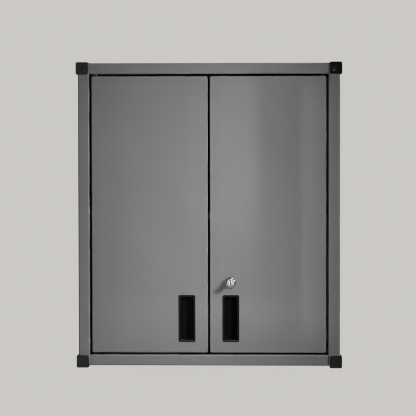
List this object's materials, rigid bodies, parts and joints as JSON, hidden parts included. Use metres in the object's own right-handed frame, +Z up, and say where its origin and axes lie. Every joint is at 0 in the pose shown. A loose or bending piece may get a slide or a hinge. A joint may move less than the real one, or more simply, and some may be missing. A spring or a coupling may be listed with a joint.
{
  "type": "hanging wall cabinet",
  "caption": "Steel wall cabinet with inset double doors, recessed pulls, a cam lock and corner caps, hooked onto slotted wall uprights.",
  "frame": {"origin": "middle of the plane where the cabinet's back lies against the faces of its two wall uprights", "axes": "+Z up, +Y back towards the wall, +X to the right for someone facing the doors"},
  "size_m": [0.65, 0.3402, 0.748],
  "materials": {
    "case_paint": "satin powder coat, dark grey",
    "door_paint": "satin powder coat, dark grey",
    "cap_plastic": "matt moulded black",
    "cup_plastic": "semi-gloss moulded black",
    "black_steel": "black oxide",
    "zinc_steel": "bright zinc plate",
    "chrome": "polished chrome",
    "nylon": "black nylon",
    "rubber": "matt black"
  },
  "bodies": {
    "cabinet": {"side_panel_right": "case_paint", "side_panel_left": "case_paint", "top_panel": "case_paint", "bottom_panel": "case_paint", "back_panel": "case_paint", "shelf": "case_paint", "shelf_support_right": "case_paint", "shelf_support_left": "case_paint", "corner_cap_top_right": "cap_plastic", "corner_cap_top_left": "cap_plastic", "corner_cap_bottom_right": "cap_plastic", "corner_cap_bottom_left": "cap_plastic", "cap_screw_right": "black_steel", "cap_screw_left": "black_steel", "hang_bracket_right": "zinc_steel", "hang_bracket_left": "zinc_steel", "bracket_rivet_upper_right": "zinc_steel", "bracket_rivet_upper_left": "zinc_steel", "bracket_rivet_lower_right": "zinc_steel", "bracket_rivet_lower_left": "zinc_steel", "hinge_pin_right_upper": "black_steel", "hinge_pin_left_upper": "zinc_steel", "hinge_pin_right_lower": "black_steel", "hinge_pin_left_lower": "black_steel", "magnet_catch_right": "cap_plastic", "magnet_catch_left": "cap_plastic", "door_stop_right": "rubber", "door_stop_left": "rubber"},
    "right_door": {"door_shell_right": "door_paint", "door_inner_panel_right": "door_paint", "handle_cup_right": "cup_plastic", "hinge_bush_right_upper": "nylon", "hinge_bush_right_lower": "nylon", "strike_plate_right": "zinc_steel", "lock_housing": "chrome", "lock_nut": "zinc_steel"},
    "left_door": {"door_shell_left": "door_paint", "door_inner_panel_left": "door_paint", "handle_cup_left": "cup_plastic", "hinge_bush_left_upper": "nylon", "hinge_bush_left_lower": "nylon", "strike_plate_left": "zinc_steel", "bolt_guide_upper": "zinc_steel", "bolt_guide_lower": "zinc_steel"},
    "lock_cylinder": {"lock_plug": "chrome", "lock_cam": "zinc_steel", "cam_screw": "zinc_steel"},
    "key": {"key": "chrome"},
    "upper_bolt": {"slide_bolt_upper": "zinc_steel"},
    "lower_bolt": {"slide_bolt_lower": "zinc_steel"}
  },
  "joints": [
    {"name": "right_door_hinge", "type": "hinge", "parent": "cabinet", "child": "right_door", "pos_m": [0.276, -0.292, 0], "axis": [0, 0, 1], "range_deg": [0, 110]},
    {"name": "left_door_hinge", "type": "hinge", "parent": "cabinet", "child": "left_door", "pos_m": [-0.276, -0.292, 0], "axis": [0, 0, -1], "range_deg": [0, 110]},
    {"name": "lock_turn", "type": "hinge", "parent": "right_door", "child": "lock_cylinder", "pos_m": [0.0535, -0.3, -0.166], "axis": [0, 1, 0], "range_deg": [0, 90]},
    {"name": "key_slide", "type": "slide", "parent": "lock_cylinder", "child": "key", "axis": [0, -1, 0], "range_m": [0, 0.026]},
    {"name": "upper_bolt_slide", "type": "slide", "parent": "left_door", "child": "upper_bolt", "axis": [0, 0, 1], "range_m": [0, 0.014]},
    {"name": "lower_bolt_slide", "type": "slide", "parent": "left_door", "child": "lower_bolt", "axis": [0, 0, -1], "range_m": [0, 0.014]}
  ]
}
